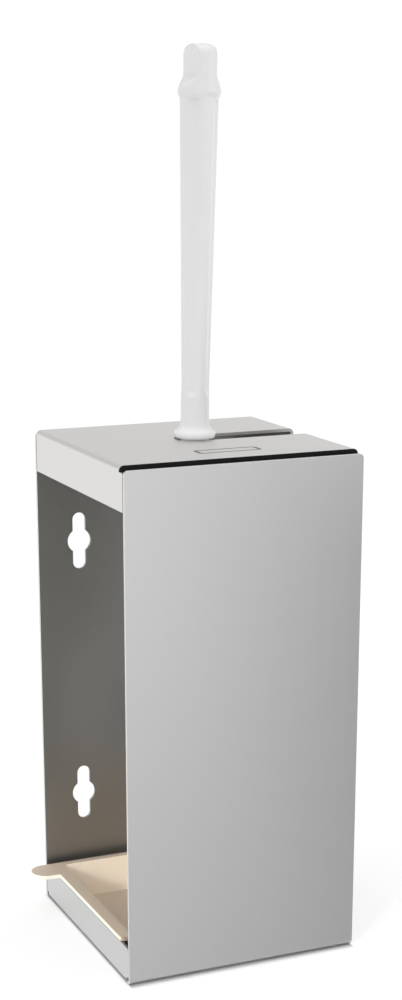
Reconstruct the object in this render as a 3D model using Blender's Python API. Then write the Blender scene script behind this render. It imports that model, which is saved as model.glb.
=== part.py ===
"""Toilet brush holder: folded stainless steel housing, lift-out drip tray and hanging brush.

Metres, +Z up. The origin is the centre of the housing's bottom face, -Y is the front,
+Y the wall side. The top slot opens to the right (+X), where the brush slides out.
"""
import math

import bmesh
import bpy
from mathutils import Vector

# Housing envelope and sheet metal
WIDTH = 0.120
DEPTH = 0.122
HEIGHT = 0.250
SHEET = 0.0015
FOLD_RADIUS = 0.003
COVER_FOLD_RADIUS = 0.0025
FOLD_STEPS = 6
GAP = 0.0003

# Wrap: front, bottom and back in one sheet, with two low flanges at the sides
SIDE_FLANGE_TOP = 0.0185
FLANGE_REAR_GAP = 0.0008
FRONT_TOP = HEIGHT - SHEET
FRONT_CORNER_RADIUS = 0.0022
RELIEF_WIDTH = 0.0012
RELIEF_TOP = 0.0034

# Top cover: plate with a deep flange at each side
COVER_FLANGE_BOTTOM = 0.2295
COVER_REAR_GAP = 0.0010
FRONT_NOTCH_DEPTH = 0.0045
FRONT_NOTCH_BOTTOM = 0.2472
FRONT_LIP_DEPTH = 0.0120
SLOT_WIDTH = 0.0173
SLOT_END_X = 0.0010
SLOT_Y = 0.0045

# Keyholes in the back panel, two columns of two
KEYHOLE_X = 0.038
KEYHOLE_LOW_Z = 0.056
KEYHOLE_HIGH_Z = 0.192
KEYHOLE_DIAMETER = 0.0123
KEYHOLE_SLOT_WIDTH = 0.0068
KEYHOLE_LENGTH = 0.0290

# Drip tray: a rim resting on the side flanges and a basin between them
TRAY_TOP = 0.0208
TRAY_WALL = 0.0020
TRAY_FRONT_Y = -0.0500
TRAY_BACK_Y = 0.0529
TRAY_SIDE_RIM = 0.0063
TRAY_END_RIM = 0.0038
TRAY_FRONT_RIM = 0.0060
TRAY_FLOOR = SHEET + GAP + TRAY_WALL
TRAY_DRAFT = 0.0064
TRAY_CORNER_RADIUS = 0.0015
BASIN_CORNER_RADIUS = 0.0025
TONGUE_REACH = 0.0127
TONGUE_WIDTH = 0.0156

# Brush: hangs by its rest flange, leaning a little along the slot
BRUSH_X = 0.0023
BRUSH_LEAN = math.radians(0.97)
BRUSH_TURN = math.radians(5.0)
BRUSH_TOP = 0.4306
REST_FLANGE_BOTTOM = HEIGHT + 0.0005
GRIP_BOTTOM = 0.2700
GRIP_TOP = 0.4076
GRIP_BOTTOM_RADIUS = 0.0069
GRIP_TOP_RADIUS = 0.0095
FLUTE_DEPTH_SHARE = 0.19
FLUTE_HALF_ANGLE = math.radians(38.0)
FLUTE_END_LENGTH = 0.0035
FLUTE_TOP_LENGTH = 0.0018
SCOOP_BOTTOM = GRIP_TOP + 0.0036
HANDLE_SEGMENTS = 40

# Brush head: core with rows of bristle tufts
CORE_TOP = 0.1220
CORE_BOTTOM = 0.0560
CORE_RADIUS = 0.0110
SPIGOT_RADIUS = 0.0050
SPIGOT_BOTTOM = 0.1040
HEAD_BOTTOM = 0.0450
ROW_COUNT = 7
ROW_PITCH = 0.0086
ROW_HEIGHT = 0.0082
ROW_FIRST_Z = 0.0570
HEAD_RADIUS = 0.0290
TUFTS_PER_ROW = 12
TUFT_VALLEY = 0.0022
CORE_SEGMENTS = 24


def clear_scene():
    for obj in list(bpy.data.objects):
        bpy.data.objects.remove(obj, do_unlink=True)


def make_material(name, colour, roughness, metallic):
    material = bpy.data.materials.new(name)
    material.use_nodes = True
    shader = material.node_tree.nodes["Principled BSDF"]
    shader.inputs["Base Color"].default_value = (*colour, 1.0)
    shader.inputs["Roughness"].default_value = roughness
    shader.inputs["Metallic"].default_value = metallic
    material.diffuse_color = (*colour, 1.0)
    return material


def add_object(name, bm, material=None, smooth=False):
    bmesh.ops.recalc_face_normals(bm, faces=bm.faces)
    mesh = bpy.data.meshes.new(name)
    bm.to_mesh(mesh)
    bm.free()
    if smooth:
        mesh.shade_smooth()
        mesh.set_sharp_from_angle(angle=math.radians(35.0))
    obj = bpy.data.objects.new(name, mesh)
    bpy.context.scene.collection.objects.link(obj)
    if material:
        mesh.materials.append(material)
    return obj


def add_boolean(target, cutter, operation="DIFFERENCE"):
    cutter.hide_render = True
    cutter.display_type = "WIRE"
    modifier = target.modifiers.new(cutter.name, "BOOLEAN")
    modifier.object = cutter
    modifier.operation = operation
    modifier.solver = "EXACT"


def box_mesh(low, high):
    bm = bmesh.new()
    bmesh.ops.create_cube(bm, size=1.0)
    centre = (Vector(low) + Vector(high)) / 2.0
    size = Vector(high) - Vector(low)
    for vert in bm.verts:
        vert.co = Vector((vert.co.x * size.x, vert.co.y * size.y, vert.co.z * size.z)) + centre
    return bm


def prism_mesh(outline, direction):
    """Closed prism from a flat outline of 3-D points, pushed along a direction."""
    bm = bmesh.new()
    face = bm.faces.new([bm.verts.new(point) for point in outline])
    extruded = bmesh.ops.extrude_face_region(bm, geom=[face])
    moved = [item for item in extruded["geom"] if isinstance(item, bmesh.types.BMVert)]
    bmesh.ops.translate(bm, verts=moved, vec=direction)
    return bm


def arc_points(centre, radius, start, end, steps):
    """Points of a 2-D arc, both ends included, angles in degrees."""
    points = []
    for index in range(steps + 1):
        angle = math.radians(start + (end - start) * index / steps)
        points.append((centre[0] + radius * math.cos(angle), centre[1] + radius * math.sin(angle)))
    return points


def rounded_rectangle(low, high, radius, steps=4):
    """2-D outline of a rectangle with round corners, anticlockwise."""
    corners = (
        ((high[0] - radius, high[1] - radius), 0.0),
        ((low[0] + radius, high[1] - radius), 90.0),
        ((low[0] + radius, low[1] + radius), 180.0),
        ((high[0] - radius, low[1] + radius), 270.0),
    )
    points = []
    for centre, start in corners:
        points += arc_points(centre, radius, start, start + 90.0, steps)
    return points


def fold_profile(half_span, top, radius):
    """Section of a sheet folded up at both ends: (across, up) points of its outer face."""
    left = arc_points((-half_span + radius, radius), radius, 180.0, 270.0, FOLD_STEPS)
    right = arc_points((half_span - radius, radius), radius, 270.0, 360.0, FOLD_STEPS)
    return [(-half_span, top)] + left + right + [(half_span, top)]


def add_solidify(obj):
    modifier = obj.modifiers.new("sheet", "SOLIDIFY")
    modifier.thickness = SHEET
    modifier.offset = -1.0
    modifier.use_even_offset = True


def keyhole_outline(x, z, y):
    """Outline of one keyhole: a round hole with a round-ended slot above and below."""
    half_slot = KEYHOLE_SLOT_WIDTH / 2.0
    hole_radius = KEYHOLE_DIAMETER / 2.0
    end = KEYHOLE_LENGTH / 2.0 - half_slot
    meet = math.degrees(math.acos(half_slot / hole_radius))
    points = arc_points((0.0, 0.0), hole_radius, -meet, meet, 8)
    points += arc_points((0.0, end), half_slot, 0.0, 180.0, 8)
    points += arc_points((0.0, 0.0), hole_radius, 180.0 - meet, 180.0 + meet, 8)
    points += arc_points((0.0, -end), half_slot, 180.0, 360.0, 8)
    return [Vector((x + across, y, z + up)) for across, up in points]


def add_side_flange(bm, sign):
    """Adds one low side flange to the wrap and returns its two corners on the bottom sheet.

    The fold stops short of the front and back folds; above it the flange is full length.
    """
    half_width = WIDTH / 2.0
    fold_end = DEPTH / 2.0 - FOLD_RADIUS - RELIEF_WIDTH
    lengths = (
        -DEPTH / 2.0 + SHEET + GAP, -fold_end, fold_end, DEPTH / 2.0 - SHEET - FLANGE_REAR_GAP,
    )
    section = arc_points((half_width - FOLD_RADIUS, FOLD_RADIUS), FOLD_RADIUS, 270.0, 360.0, FOLD_STEPS)
    section += [(half_width, RELIEF_TOP), (half_width, SIDE_FLANGE_TOP)]
    columns = []
    for number, y in enumerate(lengths):
        kept = section if number in (1, 2) else section[-2:]
        columns.append([bm.verts.new((sign * across, y, up)) for across, up in kept])
    front_end, front, back, back_end = columns
    for index in range(len(section) - 1):
        bm.faces.new((front[index], front[index + 1], back[index + 1], back[index]))
    bm.faces.new((front_end[0], front_end[1], front[-1], front[-2]))
    bm.faces.new((back[-2], back[-1], back_end[1], back_end[0]))
    return front[0], back[0]


def make_wrap(material):
    """Front, bottom and back panels with the two low side flanges, all one folded sheet."""
    half_width = WIDTH / 2.0
    half_depth = DEPTH / 2.0
    bm = bmesh.new()
    inner = half_width - FOLD_RADIUS
    columns = (-half_width, -inner, inner, half_width)
    section = fold_profile(half_depth, FRONT_TOP, FOLD_RADIUS)
    rows = [[bm.verts.new((x, across, up)) for x in columns] for across, up in section]
    bottom_row = FOLD_STEPS + 1
    for index in range(len(rows) - 1):
        if index == bottom_row:
            continue
        low, high = rows[index], rows[index + 1]
        for side in range(3):
            bm.faces.new((low[side], low[side + 1], high[side + 1], high[side]))

    bends = {sign: add_side_flange(bm, sign) for sign in (-1.0, 1.0)}
    bottom_front, bottom_back = rows[bottom_row], rows[bottom_row + 1]
    bm.faces.new((
        bottom_front[1], bends[-1.0][0], bends[-1.0][1], bottom_back[1],
        bottom_back[2], bends[1.0][1], bends[1.0][0], bottom_front[2],
    ))
    corners = [
        vert for vert in bm.verts
        if vert.co.z > FRONT_TOP - 1e-6 and abs(vert.co.x) > half_width - 1e-6
    ]
    bmesh.ops.bevel(
        bm, geom=corners, offset=FRONT_CORNER_RADIUS, segments=4,
        profile=0.5, affect="VERTICES",
    )
    wrap = add_object("wrap_shell", bm, material)
    if wrap.data.polygons[0].normal.y > 0.0:
        wrap.data.flip_normals()
    add_solidify(wrap)
    for column, x in enumerate((-KEYHOLE_X, KEYHOLE_X)):
        for row, z in enumerate((KEYHOLE_LOW_Z, KEYHOLE_HIGH_Z)):
            start_y = half_depth - 3.0 * SHEET
            hole = prism_mesh(keyhole_outline(x, z, start_y), Vector((0.0, 5.0 * SHEET, 0.0)))
            add_boolean(wrap, add_object(f"cut_keyhole_{column}_{row}", hole))
    return wrap


def make_cover(material):
    """Top plate with side flanges and a front lip, slotted from the middle out to the right."""
    half_width = WIDTH / 2.0
    front = -DEPTH / 2.0 + SHEET + GAP
    back = DEPTH / 2.0 - SHEET - COVER_REAR_GAP
    bm = bmesh.new()
    drop = HEIGHT - COVER_FLANGE_BOTTOM
    section = [(x, HEIGHT - up) for x, up in fold_profile(half_width, drop, COVER_FOLD_RADIUS)]
    rows = [[bm.verts.new((x, y, z)) for y in (front, back)] for x, z in section]
    for low, high in zip(rows, rows[1:]):
        bm.faces.new((low[0], low[1], high[1], high[0]))
    cover = add_object("top_cover", bm, material)
    if cover.data.polygons[FOLD_STEPS + 1].normal.z < 0.0:
        cover.data.flip_normals()
    add_solidify(cover)

    notch_y = -DEPTH / 2.0 + SHEET + FRONT_NOTCH_DEPTH
    notch = box_mesh((-WIDTH, -DEPTH, FRONT_NOTCH_BOTTOM), (WIDTH, notch_y, HEIGHT + SHEET))
    add_boolean(cover, add_object("cut_front_notch", notch))
    lip_end = half_width - SHEET / 2.0
    lip_top = HEIGHT - SHEET / 2.0
    lip = box_mesh((-lip_end, notch_y, HEIGHT - FRONT_LIP_DEPTH), (lip_end, notch_y + SHEET, lip_top))
    add_boolean(cover, add_object("join_front_lip", lip), "UNION")
    end = arc_points((SLOT_END_X, SLOT_Y), SLOT_WIDTH / 2.0, 90.0, 270.0, 12)
    outline = end + [(WIDTH, SLOT_Y - SLOT_WIDTH / 2.0), (WIDTH, SLOT_Y + SLOT_WIDTH / 2.0)]
    bottom = COVER_FLANGE_BOTTOM - SHEET
    base = [Vector((x, y, bottom)) for x, y in outline]
    slot = prism_mesh(base, Vector((0.0, 0.0, HEIGHT + SHEET - bottom)))
    add_boolean(cover, add_object("cut_slot", slot))
    return cover


def tray_outline():
    """Plan of the tray's rim: a rectangle with a round-ended pull tongue at the left rear."""
    half_width = WIDTH / 2.0
    radius = TRAY_CORNER_RADIUS
    tip_radius = TONGUE_WIDTH / 2.0
    tip_x = -half_width - TONGUE_REACH + tip_radius
    root_y = TRAY_BACK_Y - TONGUE_WIDTH - radius
    points = arc_points((half_width - radius, TRAY_BACK_Y - radius), radius, 0.0, 90.0, 4)
    points += arc_points((tip_x, TRAY_BACK_Y - tip_radius), tip_radius, 90.0, 270.0, 14)
    points += arc_points((-half_width - radius, root_y), radius, 90.0, 0.0, 4)
    points += arc_points((-half_width + radius, TRAY_FRONT_Y + radius), radius, 180.0, 270.0, 4)
    points += arc_points((half_width - radius, TRAY_FRONT_Y + radius), radius, 270.0, 360.0, 4)
    return points


def basin_mesh(low_z, high_z, outset):
    """Tapered block of the basin, wider at the top."""
    half_width = WIDTH / 2.0 - TRAY_SIDE_RIM + outset
    front = TRAY_FRONT_Y + TRAY_FRONT_RIM - outset
    back = TRAY_BACK_Y - TRAY_END_RIM + outset
    bm = bmesh.new()
    rings = []
    for z in (low_z, high_z):
        inset = TRAY_DRAFT * (TRAY_TOP - z) / (TRAY_TOP - TRAY_FLOOR)
        outline = rounded_rectangle(
            (-half_width + inset, front + inset), (half_width - inset, back - inset),
            BASIN_CORNER_RADIUS + max(outset, 0.0),
        )
        rings.append([bm.verts.new((x, y, z)) for x, y in outline])
    count = len(rings[0])
    for index in range(count):
        after = (index + 1) % count
        bm.faces.new((rings[0][index], rings[0][after], rings[1][after], rings[1][index]))
    bm.faces.new(list(reversed(rings[0])))
    bm.faces.new(rings[1])
    return bm


def make_tray(material):
    """Moulded drip tray: flat rim, pull tongue and a basin that reaches the housing's floor."""
    base = [Vector((x, y, TRAY_TOP - TRAY_WALL)) for x, y in tray_outline()]
    tray = add_object("drip_tray", prism_mesh(base, Vector((0.0, 0.0, TRAY_WALL))), material)
    outside = basin_mesh(TRAY_FLOOR - TRAY_WALL, TRAY_TOP - TRAY_WALL / 2.0, TRAY_WALL)
    add_boolean(tray, add_object("join_basin", outside), "UNION")
    inside = basin_mesh(TRAY_FLOOR, TRAY_TOP + TRAY_WALL, 0.0)
    add_boolean(tray, add_object("cut_basin", inside))
    return tray


def smooth_between(low, high, value):
    """0 below low, 1 above high, with a smooth change between."""
    share = min(max((value - low) / (high - low), 0.0), 1.0)
    return share * share * (3.0 - 2.0 * share)


def grip_radius(z):
    """Radius of the tapered grip at one height, before the flutes."""
    share = (z - GRIP_BOTTOM) / (GRIP_TOP - GRIP_BOTTOM)
    return GRIP_BOTTOM_RADIUS + (GRIP_TOP_RADIUS - GRIP_BOTTOM_RADIUS) * share


def handle_profile():
    """Radius of the handle moulding at each height, bottom to top, before flutes and scoops."""
    flange = REST_FLANGE_BOTTOM
    points = [
        (SPIGOT_BOTTOM, SPIGOT_RADIUS - 0.0008),
        (SPIGOT_BOTTOM + 0.0010, SPIGOT_RADIUS),
        (CORE_TOP + GAP, SPIGOT_RADIUS),
        (CORE_TOP + GAP + 0.0001, 0.0068),
        (0.1600, 0.0064),
        (0.2400, 0.0070),
        (flange - 0.0001, 0.0070),
        (flange, 0.0094),
        (flange + 0.0008, 0.0100),
        (flange + 0.0018, 0.0102),
        (flange + 0.0028, 0.0099),
        (flange + 0.0036, 0.0090),
        (flange + 0.0042, 0.0078),
        (flange + 0.0056, 0.0071),
        (flange + 0.0090, 0.0069),
    ]
    grip_steps = 16
    for index in range(grip_steps + 1):
        share = index / grip_steps
        z = GRIP_BOTTOM + (GRIP_TOP - GRIP_BOTTOM) * share
        points.append((z, grip_radius(z)))
    points += [
        (GRIP_TOP + 0.0006, 0.0098),
        (GRIP_TOP + 0.0018, 0.01015),
        (GRIP_TOP + 0.0030, 0.0101),
        (GRIP_TOP + 0.0044, 0.0097),
        (GRIP_TOP + 0.0060, 0.0095),
        (GRIP_TOP + 0.0080, 0.0094),
        (GRIP_TOP + 0.0100, 0.0094),
        (GRIP_TOP + 0.0130, 0.0094),
        (BRUSH_TOP - 0.0060, 0.0094),
        (BRUSH_TOP - 0.0044, 0.0092),
        (BRUSH_TOP - 0.0030, 0.0087),
        (BRUSH_TOP - 0.0018, 0.0079),
        (BRUSH_TOP - 0.0008, 0.0067),
        (BRUSH_TOP - 0.0002, 0.0052),
        (BRUSH_TOP, 0.0042),
    ]
    return points


def grip_rings(profile):
    """Adds closely spaced rings where the flutes end, so that the ends come out round."""
    extra = []
    flute_ends = (
        (GRIP_BOTTOM, 2.0 * FLUTE_END_LENGTH),
        (GRIP_TOP - FLUTE_TOP_LENGTH, FLUTE_TOP_LENGTH),
    )
    for start, length in flute_ends:
        for share in (0.0, 0.25, 0.5, 0.75, 1.0):
            z = start + length * share
            if GRIP_BOTTOM + 1e-6 < z < GRIP_TOP - 1e-6:
                extra.append((z, grip_radius(z)))
    return sorted(profile + extra)


def scoop_half_thickness(angle, z):
    """Half thickness of the finger tab; the scoop on one side is a little deeper."""
    curve = 0.0054 * (1.0 - smooth_between(SCOOP_BOTTOM, SCOOP_BOTTOM + 0.0066, z)) ** 1.4
    overhang = 0.0003 * smooth_between(BRUSH_TOP - 0.0080, BRUSH_TOP - 0.0040, z)
    flat = 0.0054 if math.cos(angle) > 0.0 else 0.0047
    return flat + curve + overhang


def handle_radius(angle, z, radius):
    """Radius at one angle: four flutes along the grip, two scoops at the tab."""
    if GRIP_BOTTOM < z < GRIP_TOP:
        quarter = math.pi / 2.0
        from_flute = angle % quarter - quarter / 2.0
        across = min(abs(from_flute) / FLUTE_HALF_ANGLE, 1.0)
        end = FLUTE_END_LENGTH * (1.0 - math.sqrt(1.0 - across * across))
        rise = smooth_between(GRIP_BOTTOM + end, GRIP_BOTTOM + end + FLUTE_END_LENGTH, z)
        fall = 1.0 - smooth_between(GRIP_TOP - FLUTE_TOP_LENGTH, GRIP_TOP, z)
        depth = FLUTE_DEPTH_SHARE * radius * math.cos(across * quarter) ** 2
        return radius - depth * rise * fall
    if z > SCOOP_BOTTOM:
        limit = scoop_half_thickness(angle, z) / max(abs(math.cos(angle)), 0.05)
        power = 12.0
        return (radius ** -power + limit ** -power) ** (-1.0 / power)
    return radius


def loft_mesh(sections):
    """Closed skin over rings of points, each section being a list of 3-D points."""
    bm = bmesh.new()
    rings = [[bm.verts.new(point) for point in section] for section in sections]
    count = len(rings[0])
    for low, high in zip(rings, rings[1:]):
        for index in range(count):
            after = (index + 1) % count
            bm.faces.new((low[index], low[after], high[after], high[index]))
    bm.faces.new(list(reversed(rings[0])))
    bm.faces.new(rings[-1])
    return bm


def ring_points(radius_at, z, count):
    points = []
    for index in range(count):
        angle = math.tau * index / count
        radius = radius_at(angle)
        points.append((radius * math.cos(angle), radius * math.sin(angle), z))
    return points


def make_handle(material):
    """Handle, rest flange, neck and stem in one moulding, with a spigot for the head."""
    sections = []
    for z, radius in grip_rings(handle_profile()):
        sections.append(ring_points(lambda angle: handle_radius(angle, z, radius), z, HANDLE_SEGMENTS))
    return add_object("brush_handle", loft_mesh(sections), material, smooth=True)


def make_core(material):
    """Core that carries the tufts, with a blind socket for the handle's spigot."""
    socket = SPIGOT_RADIUS + GAP
    profile = [
        (CORE_BOTTOM, 0.0080), (CORE_BOTTOM + 0.0008, 0.0100), (CORE_BOTTOM + 0.0025, CORE_RADIUS),
        (CORE_TOP - 0.0060, CORE_RADIUS), (CORE_TOP - 0.0030, 0.0100), (CORE_TOP, 0.0080),
        (CORE_TOP, socket), (SPIGOT_BOTTOM - GAP, socket),
    ]
    sections = []
    for z, radius in profile:
        sections.append(ring_points(lambda angle: radius, z, CORE_SEGMENTS))
    return add_object("brush_core", loft_mesh(sections), material, smooth=True)


def tuft_radius(angle, outer, phase):
    """Outer edge of a row: one rounded lobe for each tuft."""
    wave = 0.5 + 0.5 * math.cos(TUFTS_PER_ROW * angle + phase)
    return outer - TUFT_VALLEY * (1.0 - wave)


def make_row(number, material):
    """One row of tufts as a closed lobed ring round the core."""
    low = ROW_FIRST_Z + ROW_PITCH * number
    middle = (ROW_COUNT - 1) / 2.0
    outer = HEAD_RADIUS - 0.0020 * ((number - middle) / middle) ** 2
    phase = math.pi * (number % 2)
    bore = CORE_RADIUS + GAP
    count = TUFTS_PER_ROW * 4
    edge = 0.0016
    sections = [
        ring_points(lambda angle: bore, low + ROW_HEIGHT * 0.2, count),
        ring_points(lambda angle: tuft_radius(angle, outer, phase) - edge, low, count),
        ring_points(lambda angle: tuft_radius(angle, outer, phase), low + ROW_HEIGHT * 0.3, count),
        ring_points(lambda angle: tuft_radius(angle, outer, phase), low + ROW_HEIGHT * 0.7, count),
        ring_points(lambda angle: tuft_radius(angle, outer, phase) - edge, low + ROW_HEIGHT, count),
        ring_points(lambda angle: bore, low + ROW_HEIGHT * 0.8, count),
    ]
    bm = bmesh.new()
    rings = [[bm.verts.new(point) for point in section] for section in sections]
    for low_ring, high_ring in zip(rings, rings[1:] + rings[:1]):
        for index in range(count):
            after = (index + 1) % count
            bm.faces.new((low_ring[index], low_ring[after], high_ring[after], high_ring[index]))
    return add_object(f"bristle_row_{number + 1}", bm, material)


def make_end_tufts(material):
    """Tufts on the end of the core, a lobed dome just under it."""
    steps = 5
    top = CORE_BOTTOM - GAP
    sections = []
    for index in range(steps + 1):
        share = index / steps
        z = HEAD_BOTTOM + (top - HEAD_BOTTOM) * share
        outer = 0.0100 + 0.0145 * math.sqrt(1.0 - (1.0 - share) ** 2)
        sections.append(ring_points(lambda angle: tuft_radius(angle, outer, 0.0), z, TUFTS_PER_ROW * 4))
    return add_object("bristle_end", loft_mesh(sections), material)


def place_brush(pieces):
    """Hangs the brush's pieces on one empty at the rest flange, turned and leaning."""
    hanger = bpy.data.objects.new("brush_hanger", None)
    bpy.context.scene.collection.objects.link(hanger)
    hanger.location = (BRUSH_X, SLOT_Y, HEIGHT)
    hanger.rotation_euler = (0.0, BRUSH_LEAN, BRUSH_TURN)
    for piece in pieces:
        piece.parent = hanger
        piece.location = (0.0, 0.0, -HEIGHT)


def build():
    clear_scene()
    steel = make_material("brushed_steel", (0.62, 0.62, 0.61), 0.32, 1.0)
    steel_cover = make_material("brushed_steel_cover", (0.66, 0.65, 0.64), 0.30, 1.0)
    tray_plastic = make_material("beige_plastic", (0.69, 0.56, 0.42), 0.40, 0.0)
    handle_plastic = make_material("white_gloss_plastic", (0.86, 0.86, 0.86), 0.25, 0.0)
    core_plastic = make_material("white_core_plastic", (0.82, 0.82, 0.81), 0.35, 0.0)
    bristle_plastic = make_material("white_bristles", (0.90, 0.90, 0.89), 0.55, 0.0)

    make_wrap(steel)
    make_cover(steel_cover)
    make_tray(tray_plastic)
    brush = [make_handle(handle_plastic), make_core(core_plastic), make_end_tufts(bristle_plastic)]
    brush += [make_row(number, bristle_plastic) for number in range(ROW_COUNT)]
    place_brush(brush)


build()
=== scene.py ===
"""Looks of the toilet brush holder: satin steel housing, beige drip tray and white brush."""
import math
import random

import bmesh
import bpy
from mathutils import Euler, Matrix, Vector


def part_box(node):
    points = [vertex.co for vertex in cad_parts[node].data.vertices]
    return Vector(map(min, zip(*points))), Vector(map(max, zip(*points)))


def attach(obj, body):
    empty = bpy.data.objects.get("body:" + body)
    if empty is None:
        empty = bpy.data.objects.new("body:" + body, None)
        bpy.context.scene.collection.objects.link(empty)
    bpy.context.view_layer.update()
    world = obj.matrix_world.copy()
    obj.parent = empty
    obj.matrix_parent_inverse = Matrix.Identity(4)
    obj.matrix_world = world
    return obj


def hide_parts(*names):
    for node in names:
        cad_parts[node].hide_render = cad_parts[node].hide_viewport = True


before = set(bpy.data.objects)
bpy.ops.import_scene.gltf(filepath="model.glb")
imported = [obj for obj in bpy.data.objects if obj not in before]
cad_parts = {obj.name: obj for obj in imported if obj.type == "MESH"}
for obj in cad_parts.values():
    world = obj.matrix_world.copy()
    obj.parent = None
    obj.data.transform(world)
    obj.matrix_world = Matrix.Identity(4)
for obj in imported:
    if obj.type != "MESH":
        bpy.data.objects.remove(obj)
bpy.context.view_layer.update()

# Places and sizes taken from the frame, in metres
WRAP_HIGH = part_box("wrap_shell")[1]
COVER_LOW, COVER_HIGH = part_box("top_cover")
TRAY_LOW, TRAY_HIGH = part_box("drip_tray")
CORE_LOW, CORE_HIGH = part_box("brush_core")
HALF_WIDTH = WRAP_HIGH.x
HALF_DEPTH = WRAP_HIGH.y
HEIGHT = COVER_HIGH.z
FRONT_TOP = WRAP_HIGH.z

# Sheet metal
SHEET = 0.0015
FOLD_RADIUS = 0.003
COVER_FOLD_RADIUS = 0.0025
FOLD_STEPS = 14
GAP = 0.0003
SIDE_FLANGE_TOP = 0.0185
FLANGE_REAR_GAP = 0.0008
FRONT_CORNER_RADIUS = 0.0022
RELIEF_WIDTH = 0.0012
RELIEF_TOP = 0.0034
FRONT_NOTCH_DEPTH = 0.0045
FRONT_NOTCH_BOTTOM = HEIGHT - 0.0028
FRONT_LIP_DEPTH = 0.0120
SHEET_EDGE_BEVEL = 0.0002
SLOT_WIDTH = 0.0173
SLOT_END_X = 0.0010
SLOT_Y = 0.0045
KEYHOLE_X = 0.038
KEYHOLE_HEIGHTS = (0.056, 0.192)
KEYHOLE_DIAMETER = 0.0123
KEYHOLE_SLOT_WIDTH = 0.0068
KEYHOLE_LENGTH = 0.0290

# Plain etched frame on the top plate
MARK_CENTRE = (0.0020, -0.0350)
MARK_SIZE = (0.0320, 0.0095)
MARK_RADIUS = 0.0018
MARK_LINE = 0.0017
MARK_DEPTH = 0.00008

# Drip tray
TRAY_TOP = TRAY_HIGH.z
TRAY_WALL = 0.0020
TRAY_SIDE_RIM = 0.0063
TRAY_END_RIM = 0.0038
TRAY_FRONT_RIM = 0.0060
TRAY_FLOOR = TRAY_LOW.z + TRAY_WALL
TRAY_DRAFT = 0.0064
TRAY_CORNER_RADIUS = 0.0015
BASIN_CORNER_RADIUS = 0.0025
TRAY_EDGE_BEVEL = 0.00022
TONGUE_WIDTH = 0.0156

# Brush, in its own upright frame before it leans
BRUSH_LEAN = math.radians(0.97)
BRUSH_TURN = math.radians(5.0)
BRUSH_TOP = 0.4306
REST_FLANGE_BOTTOM = HEIGHT + 0.0005
GRIP_BOTTOM = 0.2700
GRIP_TOP = 0.4076
GRIP_RADIUS_LOW = 0.0069
GRIP_RADIUS_HIGH = 0.0095
FLUTE_DEPTH_SHARE = 0.19
FLUTE_HALF_ANGLE = math.radians(38.0)
FLUTE_END_LENGTH = 0.0035
FLUTE_TOP_LENGTH = 0.0018
SCOOP_BOTTOM = GRIP_TOP + 0.0036
SCOOP_FILLET = 0.0066
SCOOP_ROUNDNESS = 12.0
TAB_HALF_FRONT = 0.0054
TAB_HALF_BACK = 0.0047
TAB_OVERHANG = 0.0003
FLUTE_END_RINGS = 20
HANDLE_SEGMENTS = 144
HANDLE_RING_STEP = 0.0011
CORE_TOP = 0.1220
CORE_BOTTOM = 0.0560
CORE_RADIUS = 0.0110
SPIGOT_RADIUS = 0.0050
SPIGOT_BOTTOM = 0.1040
CORE_DOME = 0.0026
CORE_SHOULDER = 0.0060
CORE_RING_STEPS = 60
CORE_SEGMENTS = 72
HEAD_RADIUS = 0.0290
ROW_COUNT = 7
ROW_PITCH = 0.0086
ROW_FIRST_Z = 0.0611
TUFTS_PER_ROW = 12
FILAMENTS_PER_TUFT = 26
FILAMENT_RADIUS = 0.00022
FILAMENT_BOW = 0.00025
TUFT_ROOT_RADIUS = 0.0014
TUFT_SPREAD = 0.0052
TUFT_ROOT_DEPTH = 0.001
END_TUFT_DEPTH = 0.0006
LENGTH_SHARES = (0.93, 1.0)
SPREAD_SHARES = (0.75, 1.0)
ROW_BULGE = 0.0020
LOWEST_ROW_DROOP = -0.10
END_TUFT_RINGS = (
    {"count": 8, "radius": 0.0082, "slope": -0.55, "length": 0.0175},
    {"count": 4, "radius": 0.0042, "slope": -1.6, "length": 0.0125},
)

# Studio. CARD_ASIDE, CARD_NEAR and CARD_FADE are start and end distances, CARD_STRENGTHS go with CARD_NEAR,
# and WORLD_LEVELS are (height from straight down to straight up, brightness).
FLOOR_ALBEDO = 0.42
FLOOR_GLOW = 0.56
FLOOR_HALF_SIZE = 60.0
FLOOR_CLEARANCE = 0.0002
CONTACT_INSET = 0.001
CONTACT_REACH = 0.005
CONTACT_LEVEL = 0.05
CONTACT_SIDE_WEIGHT = 3.0
CARD_CORNERS = ((-3.0, -3.0), (3.0, -0.0625))
CARD_LEAN = 0.466
CARD_ASIDE = (-0.09, 0.19)
CARD_STRENGTHS = (0.46, 0.90)
CARD_NEAR = (-0.2, 1.1)
CARD_NEAR_LEVEL = 0.61
CARD_FADE = (2.0, 2.9)
WORLD_LEVELS = ((0.0, 1.02), (0.54, 1.02), (0.62, 0.66), (0.74, 0.70), (0.86, 0.95), (1.0, 1.9))
AREA_LIGHTS = (
    {"name": "chamber_light", "place": (-1.08, -0.92, 0.54), "target": (0.0, 0.03, 0.03),
     "size": 0.3, "power": 0.15, "spread": 18.0},
    {"name": "soft_top_left", "place": (-0.9, -0.5, 1.5), "target": (0.0, 0.0, 0.2),
     "size": 1.2, "power": 1.2, "spread": 180.0},
    {"name": "fill_right", "place": (1.1, -1.0, 0.9), "target": (0.0, 0.0, 0.3),
     "size": 1.2, "power": 2.0, "spread": 180.0},
)

# Camera, solved from the housing's edges
CAMERA_PLACE = (-0.35243, -0.81619, 0.38973)
CAMERA_FORWARD = (0.38358, 0.87918, -0.28268)
CAMERA_LENS = 66.72
CAMERA_SHIFT = (0.0003, 0.1831)


# ---------------------------------------------------------------- mesh helpers

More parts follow.
